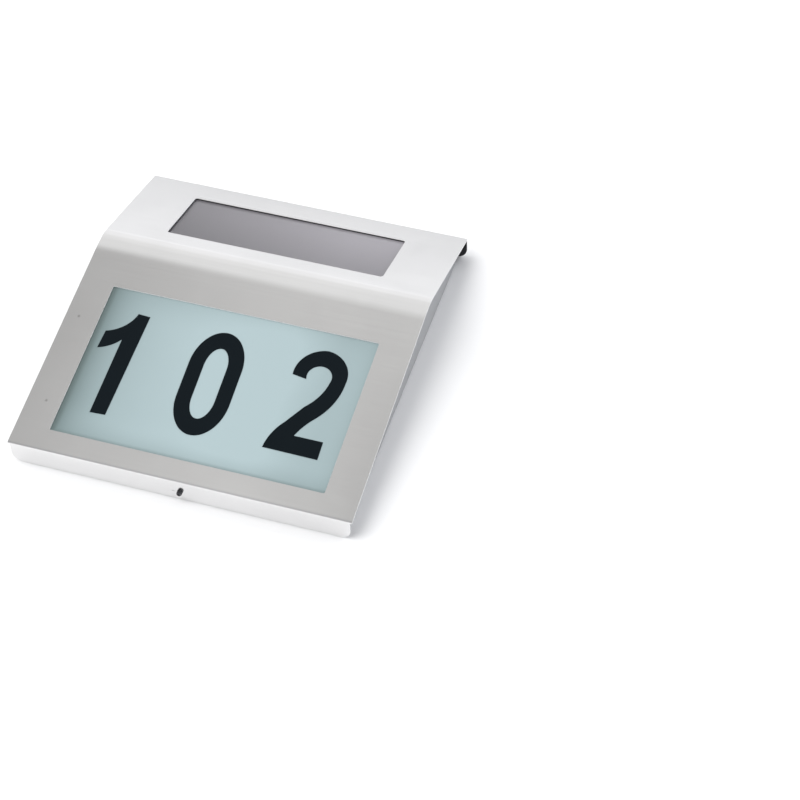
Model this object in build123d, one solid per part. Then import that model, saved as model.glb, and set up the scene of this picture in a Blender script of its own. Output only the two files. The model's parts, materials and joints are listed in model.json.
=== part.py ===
from build123d import *
import math
import os

os.makedirs("parts", exist_ok=True)

# A solar house number sign. One bent stainless sheet covers a grey plastic case, with a
# frosted number window in its face and a solar panel in its upper slope. The lamp hangs on
# a flat steel wall plate and is locked to it by one screw from below.
#
# Frame: X runs across the sign, -Y points out from the wall and Z is up. The wall is Y = 0,
# and the origin is midway between the two upper screw holes of the wall plate.
# Below, "depth" is the distance out from the wall and "height" is measured from the
# underside of the cover.

# ---- driving dimensions, millimetres ----

# bent steel cover
sign_width = 180.0
sign_height = 200.0
flange_depth = 13.7        # the folds at the bottom and the top stand this far off the wall
slope_height = 69.4        # from the top down to where slope and face would meet in a sharp bend
bend_depth = 34.4
bend_radius = 20.0
fold_radius = 1.2
sheet = 0.6
wall_gap = 0.3             # every edge of the lamp stops this far short of the wall
lower_flange_inset = 1.2       # the folds' ends stand back from the cover's sides
upper_flange_inset = 0.3
flange_corner_radius = 5.5
hook_lip_width = 88.0
hook_lip_drop = 4.5
foam_strip_thickness = 1.0     # black foam under both ends of the upper fold
foam_strip_margin = 0.1        # it stops this far inside the fold's edges
drain_hole_radius = 0.4
drain_hole_side = 2.6        # left of the middle
drain_hole_depth = 5.7

# steel left round the openings, measured along the face and along the slope
number_border_side = 17.8
number_border_low = 12.1
number_border_high = 30.3      # up to the sharp corner of the bend
solar_border_side = 30.2
solar_border_low = 15.0        # down to the sharp corner of the bend
solar_border_high = 15.45
window_corner_radius = 0.8
solar_corner_radius = 1.6

# running and assembly clearances
slip = 0.1                 # between pieces that are only laid together
seat_gap = 0.2             # between the hanging lamp and the wall plate
free_gap = 0.6             # between the cover and the locking lug
overlap = 0.5              # how far joined features run into each other

# number window
diffuser_thickness = 2.0
diffuser_overlap = 3.1
digit_thickness = 0.2
digit_height = 62.0
digit_one_side = 20.2      # from the window's left edge to the middle of the 1
digit_zero_side = 3.8      # from the middle of the window, to the left
digit_two_side = 23.5      # from the window's right edge
digit_rise = 1.0           # the numerals' middle stands this far above the window's
digit_two_rise = 3.0
digit_zero_tilt = 1.5

# solar panel, stacked under the slope
solar_overlap = 4.0
gasket_thickness = 0.9
gasket_step = 0.4          # the foam stops this far outside the window's edge
solar_glass_thickness = 1.0
cell_thickness = 0.3
cell_count = 6
cell_gap = 0.4
solar_board_thickness = 1.6

# plastic case
case_inset = 5.0
case_wall = 2.0
hook_channel = 8.0         # free height between case and cover, where the wall plate hooks in
ledge_thickness = 2.0
ledge_margin = 1.0         # the ledge's opening is this much larger than the window
partition_thickness = 1.6
partition_gap = 1.2        # between the diffuser's upper edge and the partition
boss_radius = 3.2
back_screw_side = 3.0      # from the case's inner wall to a back screw
back_screw_end = 6.0       # from the case's bottom or top wall to a back screw
lower_boss_end = 12.0
upper_boss_end = 15.0

# fasteners
stud_radius = 1.5
stud_length = 8.0
stud_low = 27.7            # up the face from the bottom fold
stud_high = 52.8           # down the face from the sharp corner of the bend
stud_side = 3.0            # from the case's inner wall
nut_flats = 5.5
nut_thickness = 2.4
nut_boss_wall = 1.4        # plastic round the lock nut
small_screw_radius = 1.2
small_screw_length = 6.0
pan_head_radius = 2.6
pan_head_height = 1.7
board_screw_length = 5.0
board_head_radius = 2.2
lock_screw_radius = 0.8
lock_screw_side = 1.0        # right of the middle
lock_screw_depth = 6.0
lock_head_radius = 1.4
lock_head_height = 2.0
lock_nut_flats = 3.2
recess_width = 0.8
hole_clearance = 0.3

# wall plate
plate_thickness = 1.5
plate_width = 100.0
bar_height = 25.0
web_width = 24.0
hook_offset = 3.0          # the plate's upper edge stands this far off the wall
wall_hole_radius = 2.2
wall_hole_spacing = 80.0
wall_hole_drop = 20.0      # from the top of the cover to the two upper holes
lower_hole_height = 45.0
lug_width = 16.0
lug_depth = 10.4
plate_room = 2.0           # between the wall plate and the notches in the case
step_gap = 0.8             # the plate's step starts this far above the case

# back panel, battery and its door
panel_depth = 4.5
panel_thickness = 2.0
cell_radius = 7.1
cell_length = 49.0
nub_radius = 2.75
nub_length = 1.5
battery_drop = 5.6         # from the sharp corner of the bend down to the cell's middle
battery_side = 7.0         # from the case's inner wall to the battery pocket
contact_room = 0.4
spring_room = 9.5
pocket_slack = 1.0         # above and in front of the cell
pocket_wall = 1.5
contact_thickness = 0.4
contact_width = 12.0
tail_width = 4.0
tail_reach = 3.0
spring_wire_radius = 0.4
spring_turns = 5
spring_large_radius = 5.0
spring_small_radius = 2.6
hinge_radius = 1.4
hinge_pin_radius = 0.75
hinge_clearance = 0.08
ear_length = 3.0
door_gap = 0.25
grip_width = 12.0          # finger notch along the door's upper edge
rib_count = 5
rib_pitch = 4.0

# electronics
board_side = 17.0          # from the case's inner wall to the circuit board
board_length = 58.0
board_width = 24.0
board_thickness = 1.6
board_depth = 12.0         # rear face of the circuit board
post_radius = 2.4
post_inset = 4.0
chip_place = (24.0, 7.0)   # places on the board are measured from its lower left corner
chip_size = (5.0, 4.0, 1.45)
chip_stand = 0.15
lead_pitch = 1.27
coil_place = (40.0, 8.0)
coil_radius = 3.6
coil_height = 5.0
capacitor_place = (12.0, 7.0)
capacitor_radius = 3.0
capacitor_height = 7.5
switch_place = 44.0        # along the board
switch_length = 8.6
switch_width = 4.4
switch_travel = 2.5
slider_width = 1.8
slider_stand = 1.2         # the slider's tip stands this far behind the back panel
lamp_count = 4
lamp_spacing = 30.0
lamp_radius = 2.5
lamp_flange_radius = 2.9
lamp_length = 6.0
lamp_depth = 15.0
lamp_board_width = 8.0
lamp_board_margin = 16.0
tray_wall = 0.8
wire_radius = 0.6
wire_pitch = 2.5
socket_places = (10.0, 24.0, 38.0)
socket_rise = 19.5         # above the board's lower edge
socket_size = 5.0
wire_seat = 1.6            # a wire's end stands this far off the circuit board, in its socket

# ---- values that follow ----
wall_hole_height = sign_height - wall_hole_drop
base = -wall_hole_height                       # z of the cover's underside
bend_height = sign_height - slope_height
face_tilt = math.atan2(bend_depth - flange_depth, bend_height)
slope_tilt = math.atan2(bend_depth - flange_depth, slope_height)
face_length = bend_height / math.cos(face_tilt)
slope_length = slope_height / math.cos(slope_tilt)
number_window_width = sign_width - 2 * number_border_side
number_window_low = number_border_low
number_window_high = face_length - number_border_high
number_window_middle = (number_window_low + number_window_high) / 2
digit_one_place = (digit_one_side - number_window_width / 2, number_window_middle + digit_rise)
digit_zero_place = (-digit_zero_side, number_window_middle + digit_rise)
digit_two_place = (number_window_width / 2 - digit_two_side, number_window_middle + digit_two_rise)
solar_window_width = sign_width - 2 * solar_border_side
solar_window_low = solar_border_low
solar_window_high = slope_length - solar_border_high
face_in = (-math.cos(face_tilt), math.sin(face_tilt))      # (depth, height), into the lamp
slope_in = (-math.cos(slope_tilt), -math.sin(slope_tilt))
diffuser_rear = sheet + diffuser_thickness + slip
ledge_rear = diffuser_rear + ledge_thickness
case_half = sign_width / 2 - case_inset
room_half = case_half - case_wall
lug_low = sheet + free_gap
lug_high = lug_low + plate_thickness
lock_nut_low = lug_high + seat_gap
lock_tip = lock_nut_low + nut_thickness + 1.0
case_low = lock_tip + 1.2
case_high = sign_height - hook_channel
room_low = case_low + case_wall
room_high = case_high - case_wall
panel_front = panel_depth + panel_thickness
partition_low = ((number_window_high + diffuser_overlap + partition_gap) * math.cos(face_tilt)
                 + diffuser_rear * math.sin(face_tilt))
partition_high = partition_low + partition_thickness
battery_height = bend_height - battery_drop
battery_left = battery_side - room_half
pocket_length = contact_room + spring_room + cell_length + nub_length + 4 * slip + 2 * contact_thickness
battery_right = battery_left + pocket_length
battery_depth = panel_front + 0.5 + cell_radius
pocket_front = battery_depth + cell_radius + pocket_slack
pocket_high = battery_height + cell_radius + pocket_slack
hinge_height = battery_height - cell_radius - pocket_slack - hinge_radius
hinge_depth = panel_depth + hinge_radius
pocket_low = hinge_height - hinge_radius - door_gap
board_front = board_depth + board_thickness
board_right = room_half - board_side
board_left = board_right - board_length
board_low = battery_height - board_width / 2
board_high = battery_height + board_width / 2
socket_height = board_low + socket_rise
switch_middle = board_left + switch_place
plate_top = sign_height - sheet - seat_gap
plate_side = plate_width / 2 + plate_room
web_side = web_width / 2 + plate_room


# ---- helpers ----
def at(x, depth, height):
    return Vector(x, -depth, base + height)


def block(x_low, x_high, depth_low, depth_high, height_low, height_high):
    size = Box(x_high - x_low, depth_high - depth_low, height_high - height_low)
    centre = at((x_low + x_high) / 2, (depth_low + depth_high) / 2, (height_low + height_high) / 2)
    return Pos(centre) * size


def rod(start, direction, radius, length):
    return extrude(Plane(origin=start, z_dir=direction) * Circle(radius), length)


def hexagon(flats):
    return RegularPolygon(flats / 2, 6, major_radius=False, rotation=30)


def hex_rod(start, direction, flats, length):
    outline = hexagon(flats)
    return extrude(Plane(origin=start, z_dir=direction) * outline, length)


out_of_wall = Vector(0, -1, 0)
to_wall = Vector(0, 1, 0)
upwards = Vector(0, 0, 1)
downwards = Vector(0, 0, -1)
rightwards = Vector(1, 0, 0)
face_normal = Vector(0, -math.cos(face_tilt), -math.sin(face_tilt))
slope_normal = Vector(0, -math.cos(slope_tilt), math.sin(slope_tilt))
face_plane = Plane(origin=at(0, flange_depth, 0), x_dir=rightwards, z_dir=face_normal)
slope_plane = Plane(origin=at(0, bend_depth, bend_height), x_dir=rightwards, z_dir=slope_normal)


def inset_corner(depth, height, normal_a, normal_b, inset):
    share = inset / (1 + normal_a[0] * normal_b[0] + normal_a[1] * normal_b[1])
    return (depth + (normal_a[0] + normal_b[0]) * share, height + (normal_a[1] + normal_b[1]) * share)


def side_outline(inset, back_depth):
    """The lamp's side view, inset from the cover's outside, as a flat face."""
    bottom_in = (0.0, 1.0)
    top_in = (0.0, -1.0)
    fold_low = inset_corner(flange_depth, 0, bottom_in, face_in, inset)
    bend = inset_corner(bend_depth, bend_height, face_in, slope_in, inset)
    fold_high = inset_corner(flange_depth, sign_height, slope_in, top_in, inset)
    corners = [(back_depth, inset), fold_low, bend, fold_high, (back_depth, sign_height - inset)]
    outline = make_face(Polyline([(-d, base + h) for d, h in corners], close=True))
    for corner, radius in ((bend, bend_radius), (fold_low, fold_radius), (fold_high, fold_radius)):
        if radius > inset + 0.05:
            spot = Vector(-corner[0], base + corner[1])
            outline = fillet(outline.vertices().sort_by_distance(spot)[0], radius - inset)
    return outline


def across(outline, x_low, x_high):
    return extrude(Plane.YZ.offset(x_low) * outline, x_high - x_low)


def slab(plane, inset, width, low, high, thickness, corner_radius=0.0):
    """A flat plate parallel to the face or the slope, its outer side inset from it."""
    height = high - low
    outline = Rectangle(width, height)
    if corner_radius > 0:
        outline = RectangleRounded(width, height, corner_radius)
    return extrude(plane.offset(-inset) * Pos(0, (low + high) / 2) * outline, -thickness)


def group(pieces):
    return Compound([solid for piece in pieces for solid in piece.solids()])


# ---- bent steel cover ----
def front_cover():
    half = sign_width / 2
    cover = across(side_outline(0, wall_gap), -half, half)
    cover -= across(side_outline(sheet, -bend_depth), -half - 1, half + 1)
    lip_half = hook_lip_width / 2
    lip_low = sign_height - hook_lip_drop
    cover += block(-lip_half, lip_half, wall_gap, wall_gap + sheet, lip_low, sign_height - sheet / 2)
    cover -= slab(face_plane, -1, number_window_width, number_window_low, number_window_high,
                  sheet + 2, window_corner_radius)
    cover -= slab(slope_plane, -1, solar_window_width, solar_window_low, solar_window_high,
                  sheet + 2, solar_corner_radius)
    cover -= rod(at(lock_screw_side, lock_screw_depth, -1), upwards,
                 lock_screw_radius + hole_clearance, sheet + 2)
    cover -= rod(at(-drain_hole_side, drain_hole_depth, -1), upwards, drain_hole_radius, sheet + 2)
    for inset, height in ((lower_flange_inset, 0), (upper_flange_inset, sign_height)):
        for x_low in (-half - inset, half - inset):
            cover -= block(x_low, x_low + 2 * inset, 0, flange_depth - fold_radius,
                           height - 2 * sheet, height + 2 * sheet)
    corners = cover.edges().filter_by(Axis.Z)
    corners = corners.filter_by(lambda edge: abs(edge.center().X) > half - flange_corner_radius)
    corners = corners.filter_by(lambda edge: edge.center().Y > -wall_gap - 0.01)
    return fillet(corners, flange_corner_radius)


def foam_strips():
    top = sign_height - sheet
    outer = sign_width / 2 - upper_flange_inset - foam_strip_margin
    rear = wall_gap + foam_strip_margin
    front = flange_depth - fold_radius - foam_strip_margin
    strip = block(plate_side, outer, rear, front, top - foam_strip_thickness, top)
    corner = at(outer, rear, top)
    strip = fillet(strip.edges().filter_by(Axis.Z).sort_by_distance(corner)[0],
                   flange_corner_radius - foam_strip_margin)
    return group([strip, mirror(strip, about=Plane.YZ)])


# ---- number window ----
def diffuser_panel():
    width = number_window_width + 2 * diffuser_overlap
    low = number_window_low - diffuser_overlap
    high = number_window_high + diffuser_overlap
    return slab(face_plane, sheet, width, low, high, diffuser_thickness, window_corner_radius)


def raised_digit(outline, place, tilt=0.0):
    sized = scale(outline, by=digit_height / 62.0)
    seat = face_plane.offset(-sheet) * Pos(place[0], place[1]) * Rot(0, 0, tilt)
    return extrude(seat * sized, digit_thickness)


def one_outline():
    edge = Line((-4.5, -31.0), (3.7, -30.6))
    edge += Line((3.7, -30.6), (5.2, 30.4))
    edge += Line((5.2, 30.4), (-1.3, 30.8))
    edge += ThreePointArc((-1.3, 30.8), (-5.7, 22.4), (-14.3, 17.0))
    edge += Line((-14.3, 17.0), (-14.9, 6.4))
    edge += ThreePointArc((-14.9, 6.4), (-9.0, 9.2), (-4.2, 14.0))
    edge += Line((-4.2, 14.0), (-4.5, -31.0))
    return make_face(edge)


def oval(half_width, half_height, end_height):
    straight = half_height - end_height
    ends = Ellipse(half_width, end_height)
    return Pos(0, straight) * ends + Pos(0, -straight) * ends + Rectangle(2 * half_width, 2 * straight)


def zero_outline():
    return oval(14.0, 31.0, 21.0) - oval(6.1, 21.2, 11.5)


def two_outline():
    edge = ThreePointArc((-13.4, 13.8), (-10.6, 25.2), (0.2, 31.3))
    edge += ThreePointArc((0.2, 31.3), (10.6, 26.2), (14.2, 15.0))
    edge += ThreePointArc((14.2, 15.0), (12.0, 2.2), (6.2, -8.0))
    edge += ThreePointArc((6.2, -8.0), (1.8, -13.9), (-1.4, -20.4))
    edge += Line((-1.4, -20.4), (13.8, -20.4))
    edge += Line((13.8, -20.4), (14.1, -30.7))
    edge += Line((14.1, -30.7), (-14.6, -30.4))
    edge += ThreePointArc((-14.6, -30.4), (-12.8, -21.8), (-8.4, -14.0))
    edge += Line((-8.4, -14.0), (-1.5, -3.0))
    edge += ThreePointArc((-1.5, -3.0), (4.0, 5.0), (6.4, 13.5))
    edge += ThreePointArc((6.4, 13.5), (0.3, 21.7), (-5.8, 12.7))
    edge += Line((-5.8, 12.7), (-13.4, 13.8))
    return make_face(edge)


# ---- solar panel ----
solar_width = solar_window_width + 2 * solar_overlap
solar_low = solar_window_low - solar_overlap
solar_high = solar_window_high + solar_overlap
glass_inset = sheet + gasket_thickness
cell_inset = glass_inset + solar_glass_thickness
solar_board_inset = cell_inset + cell_thickness
solar_board_rear = solar_board_inset + solar_board_thickness


def solar_gasket():
    ring = slab(slope_plane, sheet, solar_width, solar_low, solar_high, gasket_thickness)
    hole_width = solar_window_width + 2 * gasket_step
    return ring - slab(slope_plane, sheet - 1, hole_width, solar_window_low - gasket_step,
                       solar_window_high + gasket_step, gasket_thickness + 2)


def solar_glass():
    return slab(slope_plane, glass_inset, solar_width, solar_low, solar_high, solar_glass_thickness)


def solar_cells():
    pitch = solar_width / cell_count
    cells = []
    for number in range(cell_count):
        centre = (number + 0.5) * pitch - solar_width / 2
        cell = slab(slope_plane, cell_inset, pitch - cell_gap, solar_low, solar_high, cell_thickness)
        cells.append(Pos(centre, 0, 0) * cell)
    return group(cells)


def solar_board():
    return slab(slope_plane, solar_board_inset, solar_width, solar_low, solar_high, solar_board_thickness)


# ---- plastic case ----
def stud_spots():
    heights = (stud_low, face_length - stud_high)
    return [(side * (room_half - stud_side), height) for side in (-1, 1) for height in heights]


def back_screw_spots():
    side = room_half - back_screw_side
    low = room_low + back_screw_end
    high = room_high - back_screw_end
    ends = ((low, lower_boss_end), (high, upper_boss_end))
    return [(x, height, end) for x in (-side, side) for height, end in ends]


def rear_case():
    reach = bend_depth + 10
    body = across(side_outline(sheet + slip, wall_gap), -case_half, case_half)
    body &= block(-sign_width, sign_width, 0, reach, case_low, case_high)
    room = block(-room_half, room_half, -1, reach, room_low, room_high)
    ledge = slab(face_plane, diffuser_rear, 2 * case_half - case_wall, 0, bend_height, ledge_thickness)
    ledge &= block(-sign_width, sign_width, 0, reach, case_low, partition_high)
    ledge -= slab(face_plane, diffuser_rear - 1, number_window_width + 2 * ledge_margin,
                  number_window_low - ledge_margin, number_window_high + ledge_margin, ledge_thickness + 2)
    partition = block(-case_half, case_half, panel_front + slip, reach, partition_low, partition_high)
    partition &= across(side_outline(sheet + slip, 0), -case_half, case_half)
    reach_out = diffuser_overlap + seat_gap
    diffuser_room = slab(face_plane, sheet - 1, number_window_width + 2 * reach_out,
                         number_window_low - reach_out, number_window_high + reach_out,
                         diffuser_thickness + slip + 1)
    case = body - room + ledge + partition
    for x, height in stud_spots():
        collar = face_plane.offset(-sheet - slip) * Pos(x, height) * Circle(boss_radius)
        case += extrude(collar, -diffuser_thickness - ledge_thickness / 2)
    for x, height, end in back_screw_spots():
        case += rod(at(x, panel_front + slip, height), out_of_wall, boss_radius, end - panel_front)
    nut_boss = lock_nut_flats / math.sqrt(3) + nut_boss_wall
    nut_half = lock_nut_flats / 2 + nut_boss_wall
    case += block(lock_screw_side - nut_boss, lock_screw_side + nut_boss,
                  lock_screw_depth - nut_half, lock_screw_depth + nut_half,
                  lock_nut_low + 2 * seat_gap, case_low + overlap)
    case -= diffuser_room
    for x, height in stud_spots():
        bore = face_plane * Pos(x, height) * Circle(stud_radius + slip)
        case -= extrude(bore, -ledge_rear - 1)
    for x, height, end in back_screw_spots():
        case -= rod(at(x, panel_front - 1, height), out_of_wall, small_screw_radius + slip,
                    end - panel_front)
    pocket_top = lock_nut_low + nut_thickness + slip
    case -= hex_rod(at(lock_screw_side, lock_screw_depth, 0), upwards,
                    lock_nut_flats + 2 * slip, pocket_top)
    case -= rod(at(lock_screw_side, lock_screw_depth, 0), upwards,
                lock_screw_radius + hole_clearance, lock_tip + 0.4)
    case -= block(-plate_side, plate_side, -1, hook_offset + overlap, room_high - 1, case_high + 1)
    case -= block(-web_side, web_side, -1, plate_thickness + overlap, 0, room_low + 1)
    notch_middle = board_left + socket_places[2] + 1.0
    return case - block(notch_middle - 4, notch_middle + 4, lamp_depth - 3, lamp_depth + 3,
                        partition_low - 1, partition_high + 1)


# ---- cover studs, nuts and screws ----
def weld_studs():
    return group([extrude(face_plane.offset(-sheet) * Pos(x, height) * Circle(stud_radius), -stud_length)
                  for x, height in stud_spots()])


def stud_nuts():
    nuts = []
    for x, height in stud_spots():
        outline = hexagon(nut_flats) - Circle(stud_radius + slip)
        seat = face_plane.offset(-ledge_rear - slip) * Pos(x, height)
        nuts.append(extrude(seat * outline, -nut_thickness))
    return group(nuts)


def pan_screw(seat, direction, radius, length, head_radius, head_height):
    """A cross-recessed pan-head screw; direction points from the head to the tip."""
    head = extrude(Plane(origin=seat, z_dir=-direction) * Circle(head_radius), head_height)
    outer_edge = head.edges().sort_by(lambda edge: (edge.center() - seat).length)[-1]
    head = fillet(outer_edge, head_height * 0.45)
    recess_plane = Plane(origin=seat - direction * head_height, z_dir=direction)
    recess = Rectangle(recess_width, head_radius * 1.15) + Rectangle(head_radius * 1.15, recess_width)
    head -= extrude(recess_plane * recess, head_height * 0.55)
    return head + rod(seat, direction, radius, length)


def back_screws():
    screws = []
    for x, height, end in back_screw_spots():
        seat = at(x, panel_depth - slip, height)
        length = min(small_screw_length, end - panel_front)
        screws.append(pan_screw(seat, out_of_wall, small_screw_radius, length,
                                pan_head_radius, pan_head_height))
    return group(screws)


def lock_screw():
    seat = at(lock_screw_side, lock_screw_depth, -slip)
    return pan_screw(seat, upwards, lock_screw_radius, lock_tip + slip, lock_head_radius, lock_head_height)


def lock_nut():
    nut = hex_rod(at(lock_screw_side, lock_screw_depth, lock_nut_low), upwards, lock_nut_flats, nut_thickness)
    return nut - rod(at(lock_screw_side, lock_screw_depth, 0), upwards, lock_screw_radius + slip, case_low)


# ---- wall plate ----
def wall_plate():
    half = plate_width / 2
    bar_low = plate_top - bar_height - hook_offset
    step_low = case_high + step_gap
    rise = plate_thickness * (math.sqrt(2) - 1)
    profile = [(0, bar_low), (0, step_low), (hook_offset, step_low + hook_offset), (hook_offset, plate_top),
               (hook_offset + plate_thickness, plate_top),
               (hook_offset + plate_thickness, step_low + hook_offset - rise),
               (plate_thickness, step_low - rise), (plate_thickness, bar_low)]
    bar = make_face(Polyline([(-d, base + h) for d, h in profile], close=True))
    plate = across(bar, -half, half)
    plate += block(-web_width / 2, web_width / 2, 0, plate_thickness, lug_low, bar_low + 1)
    plate += block(-lug_width / 2, lug_width / 2, 0, lug_depth, lug_low, lug_high)
    slot_half = lock_screw_radius + hole_clearance
    plate -= rod(at(lock_screw_side, lock_screw_depth, 0), upwards, slot_half, lug_high + 1)
    plate -= block(lock_screw_side - slot_half, lock_screw_side + slot_half,
                   lock_screw_depth, lug_depth + 1, 0, lug_high + 1)
    for x in (-wall_hole_spacing / 2, wall_hole_spacing / 2):
        plate -= rod(at(x, -1, wall_hole_height), out_of_wall, wall_hole_radius, plate_thickness + 2)
    plate -= rod(at(0, -1, lower_hole_height), out_of_wall, wall_hole_radius, plate_thickness + 2)
    return plate


# ---- back panel, battery and door ----
def board_post_spots():
    upper_left = (board_left + post_inset, board_high - post_inset)
    lower_right = (board_right - post_inset, board_low + post_inset)
    return [upper_left, lower_right]


def back_panel():
    side = room_half - 2 * slip
    panel = block(-side, side, panel_depth, panel_front, room_low + 2 * slip, room_high - 2 * slip)
    panel += block(battery_left - pocket_wall, battery_right + pocket_wall, panel_front - overlap,
                   pocket_front + pocket_wall, pocket_low - pocket_wall, pocket_high + pocket_wall)
    panel -= block(battery_left, battery_right, panel_depth - 1, pocket_front, pocket_low, pocket_high)
    for x_low in (battery_left - overlap, battery_right - ear_length):
        ear = ear_length + overlap
        panel += block(x_low, x_low + ear, panel_depth, panel_front, pocket_low - overlap, hinge_height)
        panel += rod(at(x_low, hinge_depth, hinge_height), rightwards, hinge_radius, ear)
    pin_hole = rod(at(battery_left - 0.2, hinge_depth, hinge_height), rightwards,
                   hinge_pin_radius + hinge_clearance, pocket_length + 0.4)
    panel -= pin_hole
    for x, height, end in back_screw_spots():
        panel -= rod(at(x, panel_depth - 1, height), out_of_wall, small_screw_radius + hole_clearance,
                     panel_thickness + 2)
    stem_half = slider_width / 2 + switch_travel / 2 + hole_clearance
    panel -= block(switch_middle - stem_half, switch_middle + stem_half, panel_depth - 1, panel_front + 1,
                   battery_height - slider_width / 2 - hole_clearance,
                   battery_height + slider_width / 2 + hole_clearance)
    for x, height in board_post_spots():
        panel += rod(at(x, panel_front - overlap, height), out_of_wall, post_radius,
                     board_depth - panel_front + overlap)
        panel -= rod(at(x, panel_front, height), out_of_wall, small_screw_radius + slip, board_depth)
    for x_low in contact_places():
        panel -= block(x_low - slip, x_low + contact_thickness + slip, pocket_front - 1,
                       pocket_front + pocket_wall + 1, battery_height - tail_width / 2 - slip,
                       battery_height + tail_width / 2 + slip)
    return panel


def contact_places():
    return (battery_left + slip, battery_right - slip - contact_thickness)


def contact_plate(x_low):
    half = contact_width / 2
    plate = block(x_low, x_low + contact_thickness, panel_front + slip, pocket_front - slip,
                  battery_height - half, battery_height + half)
    return plate + block(x_low, x_low + contact_thickness, pocket_front - 1,
                         pocket_front + pocket_wall + tail_reach,
                         battery_height - tail_width / 2, battery_height + tail_width / 2)


def negative_contact():
    return contact_plate(contact_places()[0])


def positive_contact():
    return contact_plate(contact_places()[1])


cell_end = battery_right - contact_thickness - 2 * slip - nub_length     # shoulder at the + end
cell_start = cell_end - cell_length


def battery_cell():
    body = rod(at(cell_start, battery_depth, battery_height), rightwards, cell_radius, cell_length)
    body = fillet(body.edges().filter_by(GeomType.CIRCLE), 0.6)
    groove = rod(at(cell_end - 3.2, battery_depth, battery_height), rightwards, cell_radius + 1, 1.0)
    groove -= rod(at(cell_end - 4.2, battery_depth, battery_height), rightwards, cell_radius - 0.4, 3.0)
    nub = rod(at(cell_end - 0.5, battery_depth, battery_height), rightwards, nub_radius, nub_length + 0.5)
    return body - groove + nub


def spring_point(share, start, length):
    angle = 2 * math.pi * spring_turns * share
    radius = spring_large_radius + (spring_small_radius - spring_large_radius) * share
    return Vector(start + length * share, -battery_depth + radius * math.cos(angle),
                  base + battery_height + radius * math.sin(angle))


def spring_tangent(share, start, length):
    step = 1e-4
    ahead = spring_point(share + step, start, length)
    return (ahead - spring_point(share - step, start, length)).normalized()


def battery_spring():
    """A conical spring, one wire on pairs of tangent arcs, a quarter turn each pair."""
    start = contact_places()[0] + contact_thickness + spring_wire_radius + slip
    length = cell_start - slip - spring_wire_radius - start
    quarters = 4 * spring_turns
    arcs = []
    for number in range(quarters):
        a, b = number / quarters, (number + 1) / quarters
        p0, p1 = spring_point(a, start, length), spring_point(b, start, length)
        t0, t1 = spring_tangent(a, start, length), spring_tangent(b, start, length)
        chord, both = p1 - p0, t0 + t1
        square = 2 * (1 - t0.dot(t1))
        reach = (-2 * chord.dot(both) + math.sqrt(4 * chord.dot(both) ** 2 + 4 * square * chord.dot(chord)))
        reach /= 2 * square
        middle = (p0 + t0 * reach + p1 - t1 * reach) * 0.5
        arcs.append(TangentArc(p0, middle, tangent=t0))
        arcs.append(TangentArc(middle, p1, tangent=(p1 - t1 * reach - p0 - t0 * reach)))
    path = Wire(arcs)
    wire = Plane(origin=path @ 0, z_dir=path % 0) * Circle(spring_wire_radius)
    per_turn = 48
    count = per_turn * spring_turns
    points = [spring_point(number / count, start, length) for number in range(count + 1)]
    half_turn = per_turn // 2
    least = min((points[n] - points[m]).length for n in range(count) for m in range(n + half_turn, count + 1))
    print("battery spring: least gap between turns", round(least - 2 * spring_wire_radius, 2), "mm")
    return sweep(wire, path=path)


def battery_door():
    left = battery_left + door_gap
    right = battery_right - door_gap
    low = hinge_height + hinge_radius + door_gap
    high = pocket_high - door_gap
    door = block(left, right, panel_depth, panel_front, low, high)
    barrel_left = battery_left + ear_length + door_gap
    barrel_right = battery_right - ear_length - door_gap
    length = barrel_right - barrel_left
    door += rod(at(barrel_left, hinge_depth, hinge_height), rightwards, hinge_radius, length)
    door += block(barrel_left, barrel_right, panel_depth, panel_depth + hinge_radius,
                  hinge_height, low + overlap)
    door += rod(at(barrel_left - ear_length, hinge_depth, hinge_height), rightwards,
                hinge_pin_radius, length + 2 * ear_length)
    middle = (left + right) / 2
    door -= block(middle - grip_width / 2, middle + grip_width / 2, panel_depth - 1,
                  panel_depth + panel_thickness / 2, high - 3.5, high - 1.2)
    for number in range(rib_count):
        rib = middle + (number - (rib_count - 1) / 2) * rib_pitch
        door -= block(rib - 0.5, rib + 0.5, panel_depth - 1, panel_depth + 0.4, low + 3, high - 6)
    return door


# ---- electronics ----
def circuit_board():
    board = block(board_left, board_right, board_depth, board_front, board_low, board_high)
    for x, height in board_post_spots():
        board -= rod(at(x, board_depth - 1, height), out_of_wall, small_screw_radius + hole_clearance, 4)
    return board


def board_screws():
    screws = []
    for x, height in board_post_spots():
        seat = at(x, board_front, height)
        screws.append(pan_screw(seat, to_wall, small_screw_radius, board_screw_length,
                                board_head_radius, pan_head_height))
    return group(screws)


def charge_chip():
    x_centre, height_centre = board_left + chip_place[0], board_low + chip_place[1]
    length, width, thickness = chip_size
    foot = board_front + chip_stand
    chip = block(x_centre - length / 2, x_centre + length / 2, foot, foot + thickness,
                 height_centre - width / 2, height_centre + width / 2)
    for number in range(4):
        x = x_centre + (number - 1.5) * lead_pitch
        for side in (-1, 1):
            height = height_centre + side * (width / 2 + 0.5)
            chip += block(x - 0.2, x + 0.2, board_front, board_front + 0.6, height - 0.6, height + 0.6)
    return chip


def choke_coil():
    x, height = board_left + coil_place[0], board_low + coil_place[1]
    foot = at(x, board_front, height)
    coil = rod(foot, out_of_wall, coil_radius, coil_height)
    waist_foot = at(x, board_front + coil_height / 5, height)
    waist = rod(waist_foot, out_of_wall, coil_radius + 1, coil_height * 3 / 5)
    waist -= rod(foot, out_of_wall, coil_radius * 0.78, coil_height)
    return coil - waist


def storage_capacitor():
    x, height = board_left + capacitor_place[0], board_low + capacitor_place[1]
    can = rod(at(x, board_front, height), out_of_wall, capacitor_radius, capacitor_height)
    return fillet(can.edges().filter_by(GeomType.CIRCLE), 0.4)


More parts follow.
